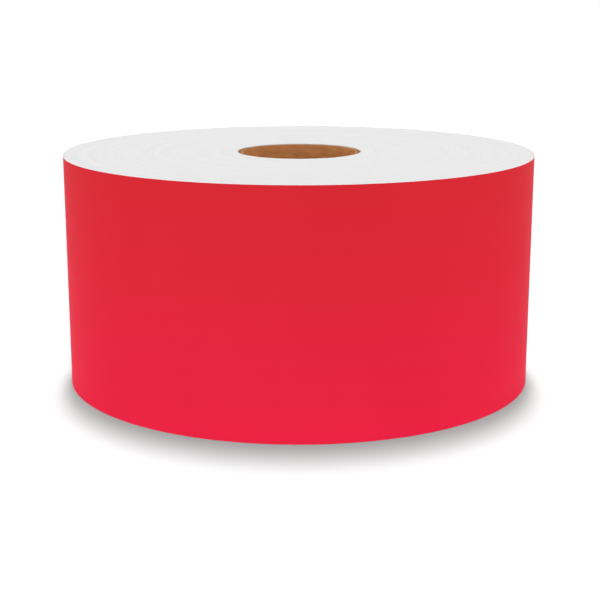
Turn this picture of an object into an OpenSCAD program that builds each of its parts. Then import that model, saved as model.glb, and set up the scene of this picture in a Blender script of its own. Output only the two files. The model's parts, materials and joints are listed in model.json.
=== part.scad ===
// Narrow roll of self-adhesive sign vinyl, standing on its end.
// The origin is the centre of the bottom end, and +Z runs up the roll's axis.
// Angles along the web are measured about the axis from the web's outer end, and its radius falls as the
// angle grows.

/* [Web] */
// Width of the web, which is the roll's height as it stands
web_w = 50.8; // [30:0.1:100]
// Thickness of the vinyl film
film_t = 0.075; // [0.05:0.005:0.15]
// Thickness of the adhesive coat between the film and its liner
glue_t = 0.025; // [0.02:0.005:0.04]
// Thickness of the release liner
liner_t = 0.075; // [0.05:0.005:0.15]

/* [Roll] */
// Outside diameter of the wound roll
roll_d = 104; // [86:0.5:160]
// Direction in which the web's outer end lies
web_end_a = 45; // [0:1:359]

/* [Tail] */
// Angle that the loose tail covers
tail_a = 100; // [90:1:150]
// Angle that the tail's last stretch covers
last_stretch_a = 20; // [18:1:24]
// Length of film that peels from its liner at the web's outer end
film_end_len = 10.5; // [10:0.5:13]

/* [Core] */
// Bore of the core
bore_d = 25.4; // [20:0.1:40]
// Wall of the core, all its plies together
core_wall = 1; // [0.8:0.1:3]
// Depth of each end of the core below the web's edges
core_recess = 0.2; // [0.1:0.05:1]
// Length of the starter tape round the core
starter_len = 12; // [6:1:20]
// Thickness of the starter tape
starter_t = 0.1; // [0.05:0.01:0.2]

/* [Closing tab] */
// Width of the tab, across the web's edges
tab_w = 19; // [10:0.5:25]
// Thickness of the tab
tab_t = 0.1; // [0.05:0.01:0.15]
// Length of the half that is stuck on the film's end
tab_stuck_len = 8; // [6:0.5:9.5]
// Length of the half that lies on the turn below
tab_free_len = 14; // [8:0.5:25]

/* [Clearances] */
// Gap between the last turn and the turns below it
lay_gap = 0.03; // [0.03:0.01:0.1]
// Gap between the ends of neighbouring stretches of the web
seam_gap = 0.05; // [0.02:0.01:0.2]
// Gap left by a line of glue
glue_line = 0.02; // [0.02:0.01:0.05]
// Gap between the starter tape and the first turn
start_gap = 0.04; // [0.04:0.01:0.1]
// Gap between the tab's free half and the turn below
tab_gap = 0.05; // [0.03:0.01:0.1]

/* [Hidden] */
// Number of stretches in the tail
tail_n = 9;

$fn = 180;

// Colours
kraft = [0.59, 0.385, 0.225];
vinyl_red = [0.88, 0.165, 0.23];
liner_white = [0.93, 0.92, 0.89];
edge_grey = [0.914, 0.914, 0.914];
tape_white = [0.95, 0.95, 0.94];

// Radii
web_t = film_t + glue_t + liner_t;
roll_r = roll_d / 2;
liner_top = roll_r - film_t - glue_t;
web_bottom = roll_r - web_t;
core_r = bore_d / 2 + core_wall;
starter_r = core_r + glue_line;
first_turn_r = starter_r + starter_t + start_gap;
tab_r = roll_r + glue_line;
tab_top = tab_r + tab_t;
tab_z = (web_w - tab_w) / 2;

// Core
core_plies = 4;
ply_pitch = core_wall / core_plies;
core_len = web_w - 2 * core_recess;

// Angles
function arc_a(len, r) = len / r * 180 / PI;
tail_step = (tail_a - last_stretch_a) / (tail_n - 1);
seam_a = arc_a(seam_gap, roll_r);
film_end_a = arc_a(film_end_len, roll_r);
tab_stuck_a = arc_a(tab_stuck_len, tab_r);
tab_free_a = arc_a(tab_free_len, roll_r);
tab_riser_a = arc_a(tab_t, roll_r);
starter_a = arc_a(starter_len, starter_r);

// Where tail stretch i hangs on the one before it
function hinge_a(i) = tail_a - (i - 1) * tail_step;

// Sector of a ring between two angles, about the axis or an axis moved along X by x0
module ring_sector(r_in, r_out, a0, a1, z0, h, x0 = 0) {
    translate([x0, 0, z0])
        rotate([0, 0, a0])
            rotate_extrude(angle = a1 - a0)
                translate([r_in, 0])
                    square([r_out - r_in, h]);
}

// One whole turn of the web between two layer lines, each given by its radius at angle 0.
// The first half turn is round the axis, and the second is round an axis half a web's thickness away,
// so the turn brings the web in by exactly its own thickness.
module web_turn(r_in, r_out) {
    ring_sector(r_in, r_out, 0, 180, 0, web_w);
    ring_sector(r_in - web_t / 2, r_out - web_t / 2, 180, 360, 0, web_w, -web_t / 2);
}

// Last turn between two layer lines, without the stretch that the tail covers
module last_turn(r_in, r_out) {
    difference() {
        web_turn(r_in, r_out);
        ring_sector(core_r, roll_d, 0, tail_a + seam_a, -1, web_w + 2);
        ring_sector(core_r, roll_d, 360 - seam_a, 360, -1, web_w + 2);
    }
}

// Turns a piece of the web to the direction of the web's outer end
module at_web_end() {
    rotate([0, 0, web_end_a])
        children();
}

// Ply i of the core, counted from the bore
module core_ply(i) {
    r_in = bore_d / 2 + i * ply_pitch;
    r_out = r_in + ply_pitch - (i < core_plies - 1 ? glue_line : 0);
    color(kraft)
        translate([0, 0, core_recess])
            difference() {
                cylinder(r = r_out, h = core_len);
                translate([0, 0, -1])
                    cylinder(r = r_in, h = core_len + 2);
            }
}

// Strip of tape on the core, under the first stretch of the web
module starter_tape() {
    color(tape_white)
        at_web_end()
            ring_sector(starter_r, starter_r + starter_t, 360 - starter_a, 360, core_recess, core_len);
}

// All the turns below the last one, pressed into one body, with a step where the web starts and one where
// the last turn leaves
module wound_turns() {
    color(edge_grey)
        at_web_end()
            web_turn(first_turn_r + web_t, web_bottom - lay_gap);
}

// Liner of the last turn, up to where the tail starts
module outer_turn_liner() {
    color(liner_white)
        at_web_end()
            last_turn(web_bottom, liner_top);
}

// Film of the last turn, up to where the tail starts
module outer_turn_film() {
    color(vinyl_red)
        at_web_end()
            last_turn(roll_r - film_t, roll_r);
}

// Stretch i of the tail's liner, counted from the roll
module tail_liner(i) {
    end_a = i < tail_n ? hinge_a(i + 1) + seam_a : 0;
    color(liner_white)
        at_web_end()
            ring_sector(web_bottom, liner_top, end_a, hinge_a(i), 0, web_w);
}

// Stretch i of the tail's film; the last one is short, because the film's end peels from its liner
module tail_film(i) {
    end_a = (i < tail_n ? hinge_a(i + 1) : film_end_a) + seam_a;
    color(vinyl_red)
        at_web_end()
            ring_sector(roll_r - film_t, roll_r, end_a, hinge_a(i), 0, web_w);
}

// End of the film, past the hinge where it peels from its liner
module film_end() {
    color(vinyl_red)
        at_web_end()
            ring_sector(roll_r - film_t, roll_r, 0, film_end_a, 0, web_w);
}

// Half of the tab that is stuck on the film's end
module closing_tab_stuck_half() {
    color(tape_white)
        at_web_end()
            ring_sector(tab_r, tab_top, 0, tab_stuck_a, tab_z, tab_w);
}

// Half of the tab that steps down over the web's end and lies on the turn below. Past the web's end the
// turn below is round the second axis, so this half is too.
module closing_tab_free_half() {
    lie_r = roll_r - web_t / 2 + tab_gap;
    top_r = tab_top + web_t / 2;
    far_a = 360 - tab_free_a;
    near_a = 360 - seam_a;
    step_a = near_a - tab_riser_a;
    color(tape_white)
        at_web_end()
            difference() {
                ring_sector(lie_r, top_r, far_a, near_a, tab_z, tab_w, -web_t / 2);
                ring_sector(lie_r + tab_t, top_r + 1, far_a - 1, step_a, tab_z - 1, tab_w + 2, -web_t / 2);
            }
}

core_ply(0);  // core_inner_ply
core_ply(1);  // core_body_ply_1
core_ply(2);  // core_body_ply_2
core_ply(3);  // core_outer_ply
starter_tape();
wound_turns();
outer_turn_liner();
outer_turn_film();
for (i = [1:tail_n]) {
    tail_liner(i);
    tail_film(i);
}
film_end();
closing_tab_stuck_half();
closing_tab_free_half();
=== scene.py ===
"""A narrow roll of sign vinyl, standing on its end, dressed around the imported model."""
import json
import math

import bmesh
import bpy
import numpy as np
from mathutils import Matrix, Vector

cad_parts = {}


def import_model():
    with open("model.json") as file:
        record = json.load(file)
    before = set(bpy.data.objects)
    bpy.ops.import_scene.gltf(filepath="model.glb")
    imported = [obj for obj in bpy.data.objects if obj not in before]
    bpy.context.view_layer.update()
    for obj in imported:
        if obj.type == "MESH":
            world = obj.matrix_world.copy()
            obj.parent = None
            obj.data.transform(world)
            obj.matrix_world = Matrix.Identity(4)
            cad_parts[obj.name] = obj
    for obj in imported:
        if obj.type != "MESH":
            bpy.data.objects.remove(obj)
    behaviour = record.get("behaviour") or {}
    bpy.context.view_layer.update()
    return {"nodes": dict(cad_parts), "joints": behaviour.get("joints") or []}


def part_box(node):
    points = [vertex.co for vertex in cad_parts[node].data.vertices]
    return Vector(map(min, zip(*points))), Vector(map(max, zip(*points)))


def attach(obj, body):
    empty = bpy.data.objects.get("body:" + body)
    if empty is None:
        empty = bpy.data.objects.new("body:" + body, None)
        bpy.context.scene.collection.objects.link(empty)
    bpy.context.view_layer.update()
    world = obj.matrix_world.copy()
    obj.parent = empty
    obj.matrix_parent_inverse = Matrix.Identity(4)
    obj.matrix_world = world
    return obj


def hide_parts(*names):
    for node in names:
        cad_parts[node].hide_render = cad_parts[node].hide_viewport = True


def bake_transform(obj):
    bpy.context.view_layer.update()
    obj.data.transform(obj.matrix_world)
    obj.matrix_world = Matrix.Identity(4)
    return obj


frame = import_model()

MM = 0.001
DEG = math.pi / 180
TURN = 2 * math.pi

# ---------------------------------------------------------------- sizes, from the frame

JOINTS = {j["name"]: j for j in frame["joints"]}
NODES = frame["nodes"]


def radii(node):
    """Smallest and largest distance of a CAD node's corners from the roll's axis."""
    r = [math.hypot(v.co.x, v.co.y) for v in NODES[node].data.vertices]
    return min(r), max(r)


def levels(node):
    """Lowest and highest height of a CAD node."""
    low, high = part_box(node)
    return low.z, high.z


def direction(joint):
    """Direction in which a hinge lies, seen from the axis."""
    x, y, _ = JOINTS[joint]["pos_m"]
    return math.atan2(y, x)


def span(node):
    """Lowest and highest angle of a CAD node's corners, from the web's outer end."""
    a = [math.atan2(v.co.y, v.co.x) - WEB_END for v in NODES[node].data.vertices]
    return min(a), max(a)


WEB_W = levels("wound_turns")[1]
ROLL_R = radii("tail_film_1")[1]
LINER_IN, LINER_OUT = radii("tail_liner_1")
WEB_T = ROLL_R - LINER_IN
PACK_OUT = radii("wound_turns")[1]
CORE_R = radii("core_outer_ply")[1]
CORE_LOW, CORE_HIGH = levels("core_inner_ply")
CORE_LEN = CORE_HIGH - CORE_LOW
STARTER_R = radii("starter_tape")[1]
TAB_IN, TAB_OUT = radii("closing_tab_stuck_half")
TAB_LOW, TAB_HIGH = levels("closing_tab_stuck_half")
TAB_LIE = radii("closing_tab_free_half")[0]

# Angles along the web are counted from its outer end, and its radius falls as the angle grows
WEB_END = direction("tab_peel")
HINGES = [direction(name) - WEB_END for name in JOINTS if name.startswith("tail_")]
HALF_STEP = (HINGES[0] - HINGES[1]) / 2
FILM_HINGE = direction("film_peel") - WEB_END
TAB_FAR = span("closing_tab_free_half")[0]
TAB_NEAR = span("closing_tab_stuck_half")[1]
# Gap between the ends of neighbouring stretches of the web
SEAM_GAP = 0.05 * MM
SEAM = SEAM_GAP / ROLL_R


def arc(length, radius=ROLL_R):
    """Angle that a length covers around the roll."""
    return length / radius


def turn_radius(r0, a):
    """Radius at angle a of the turn whose radius is r0 at its start: steady for half a turn, and then
    round a centre half a web's thickness away, so that it comes in by one web thickness."""
    shift = WEB_T / 2
    wrapped = np.mod(a, TURN)
    inner = -shift * np.cos(wrapped) + np.sqrt((r0 - shift) ** 2 - (shift * np.sin(wrapped)) ** 2)
    return np.where(wrapped <= math.pi, r0, inner)


def place(r, a, z):
    """Point at a radius, an angle from the web's end and a height."""
    return np.stack([r * np.cos(a + WEB_END), r * np.sin(a + WEB_END), z + 0 * a], axis=-1)


# ---------------------------------------------------------------- mesh helpers


def new_object(name, points, faces, materials, face_slots=None):
    """Mesh object in the scene, its faces all turned outward. face_slots gives each face's material."""
    mesh = bpy.data.meshes.new(name)
    mesh.from_pydata([tuple(p) for p in points], [], faces)
    for material in materials:
        mesh.materials.append(material)
    if face_slots is not None:
        mesh.polygons.foreach_set("material_index", face_slots)
    bm = bmesh.new()
    bm.from_mesh(mesh)
    bmesh.ops.recalc_face_normals(bm, faces=bm.faces)
    bm.to_mesh(mesh)
    bm.free()
    obj = bpy.data.objects.new(name, mesh)
    bpy.context.scene.collection.objects.link(obj)
    return obj


def shade(obj, sharp_deg=40):
    """Smooth shading, with edges sharper than the angle left crisp."""
    mesh = obj.data
    bm = bmesh.new()
    bm.from_mesh(mesh)
    for face in bm.faces:
        face.smooth = True
    for edge in bm.edges:
        if len(edge.link_faces) == 2 and edge.calc_face_angle(0) > sharp_deg * DEG:
            edge.smooth = False
    bm.to_mesh(mesh)
    bm.free()
    return obj


def swept(name, loops, closed, materials, loop_slots, end_slot=0):
    """Skins a row of closed cross-sections, each an array of the same number of points that runs up one
    side and back down the other. An open row is closed at each end by a ladder of faces between the two
    sides. loop_slots gives the material slot of each strip round the section."""
    rows, count = len(loops), len(loops[0])
    points = np.concatenate(loops)
    faces, slots = [], []
    for i in range(rows if closed else rows - 1):
        here, there = i * count, (i + 1) % rows * count
        for j in range(count):
            k = (j + 1) % count
            faces.append((here + j, here + k, there + k, there + j))
            slots.append(loop_slots[j])
    if not closed:
        for first in (0, (rows - 1) * count):
            for j in range(count // 2 - 1):
                faces.append(tuple(first + k for k in (j, j + 1, count - 2 - j, count - 1 - j)))
                slots.append(end_slot)
    return new_object(name, points, faces, materials, slots)


def thin_section(heights):
    """Cross-section of a thin strip that stands on edge: up its outer side and down its inner side.
    Returns which points are outside, their heights, and the slot of each face: 0 outside, 1 inside and 2
    on the edges."""
    count = len(heights)
    outside = np.arange(2 * count) < count
    z = np.concatenate([heights, heights[::-1]])
    slots = [0] * (count - 1) + [2] + [1] * (count - 1) + [2]
    return outside, z, slots


# ---------------------------------------------------------------- materials


def linear(colour):
    """Scene-linear value of an sRGB colour written 0 to 255."""
    c = [v / 255 for v in colour]
    return [v / 12.92 if v <= 0.04045 else ((v + 0.055) / 1.055) ** 2.4 for v in c] + [1.0]


# Sockets of a Mix node that mixes colours
MIX_A, MIX_B, MIX_RESULT = 6, 7, 2


class Paint:
    """A Principled material and the few node patterns that the surfaces share."""

    def __init__(self, name, colour, roughness, specular=0.5):
        self.material = bpy.data.materials.new(name)
        self.material.use_nodes = True
        self.tree = self.material.node_tree
        self.shader = self.tree.nodes["Principled BSDF"]
        self.shader.inputs["Base Color"].default_value = linear(colour)
        self.shader.inputs["Roughness"].default_value = roughness
        self.shader.inputs["Specular IOR Level"].default_value = specular
        self.material.diffuse_color = linear(colour)

    def node(self, kind, **settings):
        node = self.tree.nodes.new(kind)
        for key, value in settings.items():
            setattr(node, key, value)
        return node

    def link(self, source, target):
        self.tree.links.new(source, target)

    def position(self):
        return self.node("ShaderNodeTexCoord").outputs["Object"]

    def maths(self, operation, a, b=0.0):
        node = self.node("ShaderNodeMath", operation=operation)
        for socket, value in zip(node.inputs, (a, b)):
            if isinstance(value, (int, float)):
                socket.default_value = value
            else:
                self.link(value, socket)
        return node.outputs[0]

    def axes(self):
        """Sockets of the point's X, Y and Z."""
        split = self.node("ShaderNodeSeparateXYZ")
        self.link(self.position(), split.inputs[0])
        return split.outputs["X"], split.outputs["Y"], split.outputs["Z"]

    def polar(self):
        """Distance from the roll's axis and angle round it, as two sockets."""
        x, y, _ = self.axes()
        r = self.maths("SQRT", self.maths("ADD", self.maths("MULTIPLY", x, x), self.maths("MULTIPLY", y, y)))
        return r, self.maths("ARCTAN2", y, x)

    def noise(self, size, detail=2.0, stretch=(1, 1, 1), vector=None):
        """Noise with features of about size metres, longer where stretch is above 1."""
        mapping = self.node("ShaderNodeMapping")
        mapping.inputs["Scale"].default_value = [1 / (size * s) for s in stretch]
        self.link(vector or self.position(), mapping.inputs["Vector"])
        noise = self.node("ShaderNodeTexNoise")
        noise.inputs["Scale"].default_value = 1.0
        noise.inputs["Detail"].default_value = detail
        self.link(mapping.outputs["Vector"], noise.inputs["Vector"])
        return noise.outputs["Fac"]

    def mix(self, factor, a, b):
        """Colour between a and b; each is an sRGB colour or a socket."""
        node = self.node("ShaderNodeMix", data_type="RGBA")
        for socket, value in ((node.inputs[MIX_A], a), (node.inputs[MIX_B], b)):
            if isinstance(value, (tuple, list)):
                socket.default_value = linear(value)
            else:
                self.link(value, socket)
        self.link(factor, node.inputs[0])
        return node.outputs[MIX_RESULT]

    def spread(self, value, low, high, out_low=0.0, out_high=1.0):
        """value's stretch from low to high, spread over out_low to out_high and held there."""
        ramp = self.node("ShaderNodeMapRange")
        limits = {"From Min": low, "From Max": high, "To Min": out_low, "To Max": out_high}
        for name, number in limits.items():
            ramp.inputs[name].default_value = number
        self.link(value, ramp.inputs["Value"])
        return ramp.outputs["Result"]

    def colour(self, socket):
        self.link(socket, self.shader.inputs["Base Color"])

    def roughness(self, socket):
        self.link(socket, self.shader.inputs["Roughness"])

    def bump(self, height, depth):
        """Relief of about depth metres."""
        node = self.node("ShaderNodeBump")
        node.inputs["Distance"].default_value = depth
        self.link(height, node.inputs["Height"])
        self.link(node.outputs["Normal"], self.shader.inputs["Normal"])


def vinyl_material():
    """Calendered red film: nearly matt, with a fine orange peel and faint lines along the web. Its colour is
    painted lighter and pinker towards its lower edge: painted light, as from the white floor below."""
    drift_weight = 4.0
    paint = Paint("vinyl_film", (226, 36, 56), roughness=0.46, specular=0.006)
    # Painted light: this height ramp makes the base colour lighter and pinker towards the bottom and darker
    # towards the top
    up = paint.spread(paint.axes()[2], 0, WEB_W)
    even = paint.mix(up, (239, 37, 68), (219, 44, 54))
    deeper = paint.mix(up, (236, 35, 66), (216, 42, 52))
    clouds = paint.noise(18 * MM, detail=2, stretch=(1, 1, 3))
    paint.colour(paint.mix(paint.spread(clouds, 0.35, 0.65), even, deeper))
    lines = paint.noise(0.5 * MM, detail=3, stretch=(80, 80, 1))
    paint.roughness(paint.spread(lines, 0.3, 0.7, out_low=0.43, out_high=0.49))
    peel = paint.noise(0.7 * MM, detail=2)
    drift = paint.noise(16 * MM, detail=1, stretch=(1, 1, 5))
    paint.bump(paint.maths("ADD", peel, paint.maths("MULTIPLY", drift, drift_weight)), 0.005 * MM)
    return paint.material


def adhesive_material():
    """Clear pressure-sensitive coat on the film's back."""
    paint = Paint("film_adhesive", (196, 30, 46), roughness=0.16)
    mottle = paint.noise(2.2 * MM, detail=4)
    paint.colour(paint.mix(mottle, (186, 26, 42), (206, 38, 54)))
    paint.bump(paint.noise(0.9 * MM, detail=3), 0.01 * MM)
    return paint.material


def web_edge_material():
    """Slit edges of about two hundred turns: pale grey, each turn a film edge beside a liner edge. The
    darker, pinker stripe in each turn is partly the film edge's own tint and partly painted shade between the
    turns. There are faint rings where the winding tension changed."""
    ring_drift = 1.2 * MM
    film_tint_and_painted_shade, film_relief = 0.12, 0.3
    paint = Paint("web_edges", (233, 233, 233), roughness=0.62, specular=0.2)
    r, a = paint.polar()
    turn = paint.maths("ADD", paint.maths("MULTIPLY", r, TURN / WEB_T), a)
    turns = paint.spread(paint.maths("SINE", turn), -1, 1)
    # The rings' noise moves along a small circle as the angle grows, so that it changes slowly and closes up
    ring = paint.node("ShaderNodeCombineXYZ")
    paint.link(r, ring.inputs["X"])
    for axis, wave in (("Y", "COSINE"), ("Z", "SINE")):
        paint.link(paint.maths("MULTIPLY", paint.maths(wave, a), ring_drift), ring.inputs[axis])
    fine = paint.noise(0.6 * MM, detail=3, stretch=(1, 4, 4), vector=ring.outputs[0])
    wide = paint.noise(5 * MM, detail=2, stretch=(1, 3, 3), vector=ring.outputs[0])
    pale = paint.mix(paint.spread(fine, 0.32, 0.68), (229, 229, 229), (237, 237, 237))
    pale = paint.mix(paint.spread(wide, 0.3, 0.7, out_high=0.5), pale, (231, 231, 231))
    # Each turn's darker, pinker stripe: the film edge's tint and painted shade between the turns
    paint.colour(paint.mix(paint.maths("MULTIPLY", turns, film_tint_and_painted_shade), pale, (214, 208, 209)))
    paint.bump(paint.maths("ADD", fine, paint.maths("MULTIPLY", turns, film_relief)), 0.02 * MM)
    return paint.material


def liner_back_material():
    """Uncoated back of the release paper."""
    paint = Paint("liner_back", (238, 236, 230), roughness=0.6, specular=0.3)
    fibres = paint.noise(0.8 * MM, detail=5, stretch=(3, 3, 1))
    paint.colour(paint.mix(paint.spread(fibres, 0.3, 0.7), (232, 229, 221), (243, 241, 236)))
    paint.bump(fibres, 0.01 * MM)
    return paint.material


def liner_face_material():
    """Silicone-coated face of the release paper, slick and a little cooler."""
    paint = Paint("liner_face", (240, 241, 240), roughness=0.24, specular=0.45)
    paint.colour(paint.mix(paint.noise(5 * MM, detail=3), (236, 237, 236), (244, 245, 244)))
    paint.bump(paint.noise(1.1 * MM, detail=3), 0.004 * MM)
    return paint.material


def board_material(name, colour):
    """Kraft board: brown, with pale and dark fibres that lie along the ply, and darker flecks."""
    pale, dark, fleck = ([share * v for v in colour] for share in (1.06, 0.94, 0.8))
    paint = Paint(name, colour, roughness=0.8, specular=0.15)
    fibres = paint.noise(0.9 * MM, detail=5, stretch=(2.6, 2.6, 1))
    board = paint.mix(paint.spread(fibres, 0.3, 0.7), dark, pale)
    specks = paint.noise(0.28 * MM, detail=2)
    flecks = paint.spread(specks, 0.66, 0.74, out_high=0.6)
    paint.colour(paint.mix(flecks, board, fleck))
    paint.bump(fibres, 0.04 * MM)
    return paint.material


def paper_tape_material(name, pale, dark):
    """Thin plain paper tape with a fine crepe."""
    paint = Paint(name, pale, roughness=0.66, specular=0.3)
    crepe = paint.noise(0.45 * MM, detail=3, stretch=(1, 1, 6))
    paint.colour(paint.mix(paint.spread(crepe, 0.3, 0.7), dark, pale))
    paint.bump(crepe, 0.02 * MM)
    return paint.material


VINYL = vinyl_material()
ADHESIVE = adhesive_material()
WEB_EDGES = web_edge_material()
LINER_BACK = liner_back_material()
LINER_FACE = liner_face_material()
CORE_BOARD = board_material("core_board", (150, 99, 58))
# Painted light: the inner ply's board is much lighter than the rest of the core, to offset the shade deep in
# the bore
CORE_BOARD_PAINTED_LIGHT = board_material("core_board_painted_light", (210, 148, 92))
CLOSING_TAPE = paper_tape_material("closing_tape", (243, 242, 238), (234, 232, 226))
STARTER_TAPE = paper_tape_material("starter_tape", (226, 216, 192), (212, 200, 172))

# ---------------------------------------------------------------- the core


def cut_flat(mesh, z, keep_below):
    """Cuts a closed mesh level at a height, and closes the cut."""
    bm = bmesh.new()
    bm.from_mesh(mesh)
    result = bmesh.ops.bisect_plane(
        bm,
        geom=bm.verts[:] + bm.edges[:] + bm.faces[:],
        plane_co=(0, 0, z),
        plane_no=(0, 0, 1),
        clear_outer=keep_below,
        clear_inner=not keep_below,
    )
    rim = [e for e in result["geom_cut"] if isinstance(e, bmesh.types.BMEdge)]
    bmesh.ops.triangle_fill(bm, edges=rim, use_beauty=True, normal=(0, 0, 1 if keep_below else -1))
    bm.to_mesh(mesh)
    bm.free()


def wound_ply(name, node, pitch, phase, board):
    """One ply of the core, as the strip of board that it is: wound in a helix, its edges nearly meeting."""
    # Gap between the strip's turns, and how far its corners are worn off
    butt_gap, edge = 0.3 * MM, 0.03 * MM
    # Steps in each turn, and how many turns are cut away past each end of the core
    steps, spare_turns = 96, 1.5
    # Rows of points across the strip, from this share of its width to the same share from its other edge
    inset, rows = 0.12, 5
    r_in, r_out = radii(node)
    strip = pitch - butt_gap
    first, last = -spare_turns, CORE_LEN / pitch + spare_turns
    angles = np.linspace(first, last, int((last - first) * steps) + 1) * TURN
    middle = np.linspace(inset, 1 - inset, rows) * strip
    across = np.concatenate([[0, edge], middle, [strip - edge, strip]])
    outer = np.full(len(across), r_out)
    outer[[0, -1]] -= edge
    inner = np.full(len(across), r_in)
    inner[[0, -1]] += edge
    r = np.concatenate([outer, inner[::-1]])
    rise = np.concatenate([across, across[::-1]])
    loops = [place(r, a + phase, CORE_LOW + pitch * a / TURN + rise) for a in angles]
    obj = swept(name, loops, False, [board], [0] * len(r))
    cut_flat(obj.data, CORE_HIGH, True)
    cut_flat(obj.data, CORE_LOW, False)
    shade(obj, sharp_deg=30)
    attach(obj, "roll")
    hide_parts(node)


# Each ply's node, its pitch as a share of the core's length, the angle it starts at, and its board. No pitch
# goes a whole number of times into the core, so that no turn of a strip ends exactly on a cut.
PLIES = (
    # The inner ply gets the lighter board, painted light against the shade in the bore
    ("core_inner_ply", 0.52, 3.2, CORE_BOARD_PAINTED_LIGHT),
    ("core_body_ply_1", 0.56, 4.1, CORE_BOARD),
    ("core_body_ply_2", 0.62, 0.4, CORE_BOARD),
    ("core_outer_ply", 0.68, 3.0, CORE_BOARD),
)
for node, share, phase, board in PLIES:
    wound_ply(node + "_strip", node, share * CORE_LEN, phase, board)
starter_slots = NODES["starter_tape"].data.materials
starter_slots.clear()
starter_slots.append(STARTER_TAPE)

# ---------------------------------------------------------------- the web


def eased(t):
    """Smooth step from 0 to 1."""
    t = np.clip(t, 0, 1)
    return t * t * (3 - 2 * t)


def first_turn_radius(a):
    """Inside of the first turn. It starts on the starter tape, comes down on the core past the tape's
    end, and climbs over its own start when it comes round again."""
    # Gap to the core, length of the starter tape, and length over which the web comes down or climbs
    hug, tape_len, climb_len = 0.02 * MM, 12 * MM, 2.5 * MM
    on_tape, climb = arc(tape_len, CORE_R), arc(climb_len, CORE_R)
    over_tape = (STARTER_R - CORE_R) * eased((a - TURN + on_tape) / climb + 1)
    over_start = (STARTER_R - CORE_R + WEB_T) * eased(1 - a / climb)
    return CORE_R + hug + over_tape + over_start


def wound_turns_mesh():
    """All the turns below the last one. Their slit edges stand a few hundredths of a millimetre proud or
    shy of each other in bands, and the web steps down where the last turn leaves it."""
    seed = 7
    rng = np.random.default_rng(seed)
    bands, columns, walls = 72, 300, 10
    # The level part of each band, as shares of its width
    flat_start, flat_end = 0.15, 0.85
    # How far a band may lie below the web's edge, how far it wavers, and the most waves in a turn
    most_shy, waver, most_waves = 0.045 * MM, 0.008 * MM, 4
    band = np.arange(bands)
    angles = np.linspace(0, TURN - SEAM, columns)
    shares = np.sort(np.concatenate([(band + flat_start) / bands, (band + flat_end) / bands]))
    shares[[0, -1]] = 0, 1
    depths = []
    for _ in range(2):
        base = most_shy * rng.random(bands)
        waves = rng.integers(1, most_waves + 1, bands)
        phases = rng.random(bands) * TURN
        depths.append((base, waves, phases))

    def depth(side, a):
        """Depth below the web's edge of both sides of each band, at one angle."""
        base, waves, phases = depths[side]
        level = base + waver * (1 + np.sin(waves * a + phases))
        return np.repeat(level, 2)

    loops = []
    for a in angles:
        r_in, r_out = float(first_turn_radius(a)), float(turn_radius(PACK_OUT, a))
        across = r_in + shares * (r_out - r_in)
        top, bottom = WEB_W - depth(0, a), depth(1, a)
        up = np.linspace(bottom[-1], top[-1], walls + 1)[1:-1]
        down = np.linspace(top[0], bottom[0], walls + 1)[1:-1]
        r = np.concatenate([np.full(len(up), r_out), across[::-1], np.full(len(down), r_in), across])
        z = np.concatenate([up, top[::-1], down, bottom])
        loops.append(place(r, a, z))
    edges, outside, inside = 0, 1, 2
    face = [edges] * (2 * bands - 1)
    slots = [outside] * (walls - 1) + face + [inside] * walls + face + [outside]
    obj = swept("wound_web", loops, True, [WEB_EDGES, VINYL, LINER_BACK], slots)
    shade(obj)
    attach(obj, "roll")
    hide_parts("wound_turns")


def web_strip(name, r_out, r_in, angles, materials):
    """A stretch of film or liner: a thin strip on edge, following its own turn of the spiral. materials
    are those of its outside and its inside."""
    inset, rows = 0.004, 13
    heights = np.concatenate([[0], np.linspace(inset, 1 - inset, rows), [1]]) * WEB_W
    outside, z, slots = thin_section(heights)
    loops = []
    for a in angles:
        radius = np.where(outside, turn_radius(r_out, a), turn_radius(r_in, a))
        loops.append(place(radius, a, z))
    return shade(swept(name, loops, False, [*materials, WEB_EDGES], slots, end_slot=2))


def angle_row(start, end, step_deg=0.5):
    """Angles from start down to end, both kept."""
    return np.linspace(start, end, max(2, int(round(abs(start - end) / (step_deg * DEG))) + 1))


wound_turns_mesh()

# The film's strips carry their adhesive, down to a small gap above the liner
LAYER_GAP = 0.003 * MM
FILM = (ROLL_R, LINER_OUT + LAYER_GAP)
LINER = (LINER_OUT, LINER_IN)
FILM_MATERIALS = (VINYL, ADHESIVE)
LINER_MATERIALS = (LINER_FACE, LINER_BACK)
# Each layer's name in the pieces and in the nodes, its radii outside and inside, its materials, its slot, and
# the angle at which it ends
LAYERS = (
    ("vinyl", "film", FILM, FILM_MATERIALS, "vinyl", FILM_HINGE),
    ("backing", "liner", LINER, LINER_MATERIALS, "liner", 0.0),
)

for layer, node_layer, (outside, inside), materials, slot, _ in LAYERS:
    row = angle_row(TURN - SEAM, HINGES[0] + HALF_STEP)
    strip = web_strip(f"outer_turn_{layer}", outside, inside, row, materials)
    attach(strip, "roll")
    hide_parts(f"outer_turn_{node_layer}")

# The tail's strips run from the middle of one stretch to the middle of the next.
for i, hinge in enumerate(HINGES):
    last = i == len(HINGES) - 1
    for layer, node_layer, (outside, inside), materials, slot, end in LAYERS:
        row = angle_row(hinge + HALF_STEP, end if last else hinge - HALF_STEP)
        strip = web_strip(f"tail_{layer}_{i + 1}", outside, inside, row, materials)
        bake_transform(strip)
        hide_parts(f"tail_{node_layer}_{i + 1}")

film_tip = web_strip("film_tip", *FILM, angle_row(FILM_HINGE, 0.0, step_deg=0.12), FILM_MATERIALS)
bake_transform(film_tip)
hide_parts("film_end")

# ---------------------------------------------------------------- the closing tab


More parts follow.
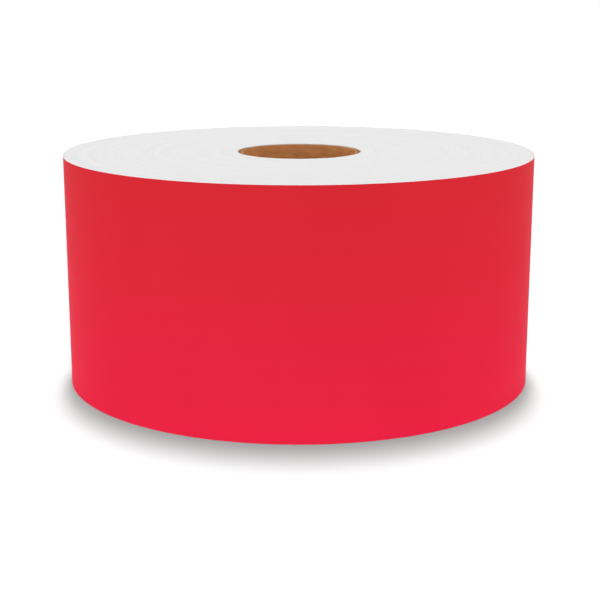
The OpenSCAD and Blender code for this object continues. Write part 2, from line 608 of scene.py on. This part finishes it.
def closing_tab():
    """Plain paper tape across the web's end, with the saw-toothed ends that a dispenser leaves."""
    tooth, tooth_depth = 1.0 * MM, 0.35 * MM
    # Angle over which the tab steps down to the turn below, and a fold angle that nothing here uses
    drop, bend = arc(0.7 * MM), arc(1.8 * MM)
    # Rows of points along the tab, which lie closer in the first part of its free half
    stuck_rows, fold_rows, free_rows, fold_share = 20, 22, 30, 0.14
    # The turn below is read just short of a whole turn, where the web has come in by its own thickness
    just_short = -1e-6
    teeth = int(round((TAB_HIGH - TAB_LOW) / tooth))
    heights = np.linspace(TAB_LOW, TAB_HIGH, 2 * teeth + 1)
    notch = arc(tooth_depth) * (np.arange(2 * teeth + 1) % 2)
    near_end, far_end = TAB_NEAR - notch, TAB_FAR + notch
    fold = np.linspace(0, fold_share, fold_rows)[1:]
    free = np.linspace(fold_share, 1, free_rows)[1:]
    rows = [share * near_end for share in np.linspace(1, 0, stuck_rows)]
    rows += [share * far_end for share in np.concatenate([fold, free])]
    thick = TAB_OUT - TAB_IN
    lie_gap = TAB_LIE - LINER_IN
    loops = []
    for a in rows:
        below = turn_radius(ROLL_R, TURN + np.minimum(a, just_short)) + lie_gap
        inner = TAB_IN + (below - TAB_IN) * eased(-a / drop)
        r = np.concatenate([inner + thick, inner[::-1]])
        loops.append(place(r, np.concatenate([a, a[::-1]]), np.concatenate([heights, heights[::-1]])))
    obj = swept("closing_tab", loops, False, [CLOSING_TAPE], [0] * (2 * len(heights)))
    shade(obj)
    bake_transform(obj)
    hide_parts("closing_tab_stuck_half", "closing_tab_free_half")


closing_tab()

# ---------------------------------------------------------------- floor, light and camera

FLOOR_HALF = 6.0
FLOOR_LEVEL = -0.02 * MM
# How much light the floor returns where it is seen, its glow there, and the light that it sends back up
FLOOR_TONE = 0.08
FLOOR_GLOW = 0.03
FLOOR_BOUNCE = 1.1
# Strength of the sky from the horizon down, and straight overhead
SKY_HORIZON = 1.4
SKY_ZENITH = 0.125
# Strength, tilt and spread of the lamp that lights the roll
KEY = (0.45, 8 * DEG, 24 * DEG)
# Tilt in degrees and strength of the floor's own lamps, in a row from in front of the roll to well behind
# it, for a shadow that is deeper in front and fades away from the roll on both sides
FLOOR_SUNS = (
    (-11.0, 1.2), (-6.0, 1.4), (-2.0, 1.1),
    (2.0, 0.95), (4.5, 0.9), (7.0, 1.05), (9.5, 1.2), (12.0, 1.4), (14.5, 1.3), (17.0, 1.2),
)
FLOOR_SPREAD = 6 * DEG
# The camera's lens and sensor in millimetres, its place, and how far below level it looks
LENS, SENSOR = 80.0, 36.0
CAMERA_PLACE = (0.0002, -0.2975, 0.0875)
CAMERA_DOWN_DEG = 13.42


def shows_as_seen(tree):
    """1 for rays that show the surroundings as they look: from the camera, in gloss and through glass."""
    path = tree.nodes.new("ShaderNodeLightPath")
    value = path.outputs["Is Camera Ray"]
    for name in ("Is Glossy Ray", "Is Transmission Ray"):
        largest = tree.nodes.new("ShaderNodeMath")
        largest.operation = "MAXIMUM"
        tree.links.new(value, largest.inputs[0])
        tree.links.new(path.outputs[name], largest.inputs[1])
        value = largest.outputs[0]
    return value


def floor():
    """White table. Seen directly it takes little of the roll's red, so that the soft shadow on it stays
    grey. The light that it sends back up is even."""
    corners = ((-1, -1), (1, -1), (1, 1), (-1, 1))
    points = [(FLOOR_HALF * x, FLOOR_HALF * y, FLOOR_LEVEL) for x, y in corners]
    material = bpy.data.materials.new("floor_white")
    material.use_nodes = True
    tree = material.node_tree
    shader = tree.nodes["Principled BSDF"]
    shader.inputs["Base Color"].default_value = (FLOOR_TONE, FLOOR_TONE, FLOOR_TONE, 1)
    shader.inputs["Roughness"].default_value = 0.9
    shader.inputs["Specular IOR Level"].default_value = 0.0
    shader.inputs["Emission Color"].default_value = (1, 1, 1, 1)
    shader.inputs["Emission Strength"].default_value = FLOOR_GLOW
    bounce = tree.nodes.new("ShaderNodeEmission")
    bounce.inputs["Strength"].default_value = FLOOR_BOUNCE
    either = tree.nodes.new("ShaderNodeMixShader")
    tree.links.new(shows_as_seen(tree), either.inputs[0])
    tree.links.new(bounce.outputs[0], either.inputs[1])
    tree.links.new(shader.outputs[0], either.inputs[2])
    tree.links.new(either.outputs[0], tree.nodes["Material Output"].inputs["Surface"])
    obj = new_object("floor", points, [(0, 1, 2, 3)], [material])
    return obj


def world():
    """Even light from all round, stronger near the horizon; it shows as plain white."""
    sky = bpy.data.worlds.new("studio")
    bpy.context.scene.world = sky
    sky.use_nodes = True
    tree = sky.node_tree
    coordinates = tree.nodes.new("ShaderNodeTexCoord")
    split = tree.nodes.new("ShaderNodeSeparateXYZ")
    ramp = tree.nodes.new("ShaderNodeMapRange")
    ramp.inputs["To Min"].default_value = SKY_HORIZON
    ramp.inputs["To Max"].default_value = SKY_ZENITH
    shown = tree.nodes.new("ShaderNodeMix")
    shown.inputs["B"].default_value = 1.0
    tree.links.new(coordinates.outputs["Generated"], split.inputs[0])
    tree.links.new(split.outputs["Z"], ramp.inputs["Value"])
    tree.links.new(ramp.outputs["Result"], shown.inputs["A"])
    tree.links.new(shows_as_seen(tree), shown.inputs["Factor"])
    tree.links.new(shown.outputs["Result"], tree.nodes["Background"].inputs["Strength"])
    tree.nodes["Background"].inputs["Color"].default_value = (1, 1, 1, 1)


def soft_sun(name, strength, tilt, spread, only=None):
    """Broad lamp far overhead. One tilted back throws its shadow in front, and one tilted forward throws it
    behind. At a strength of 1 it renders a white surface that faces it white. With only, it lights that
    object alone, though everything still casts its shadow there."""
    data = bpy.data.lights.new(name, "SUN")
    data.energy = strength * math.pi
    data.angle = spread
    obj = bpy.data.objects.new(name, data)
    obj.rotation_euler = (-tilt, 0, 0)
    bpy.context.scene.collection.objects.link(obj)
    if only:
        lit = bpy.data.collections.new(name + "_lights")
        lit.objects.link(only)
        obj.light_linking.receiver_collection = lit


def camera():
    """Camera in front of the roll, close and a little above it, as in the picture."""
    data = bpy.data.cameras.new("camera")
    data.lens = LENS
    data.sensor_width = SENSOR
    obj = bpy.data.objects.new("camera", data)
    obj.location = CAMERA_PLACE
    obj.rotation_euler = ((90 - CAMERA_DOWN_DEG) * DEG, 0, 0)
    bpy.context.scene.collection.objects.link(obj)
    bpy.context.scene.camera = obj


table = floor()
world()
soft_sun("key", *KEY)
for tilt, strength in FLOOR_SUNS:
    soft_sun(f"floor_shadow_{tilt:g}", strength, tilt * DEG, FLOOR_SPREAD, table)
camera()
bpy.context.scene.view_settings.view_transform = "Standard"
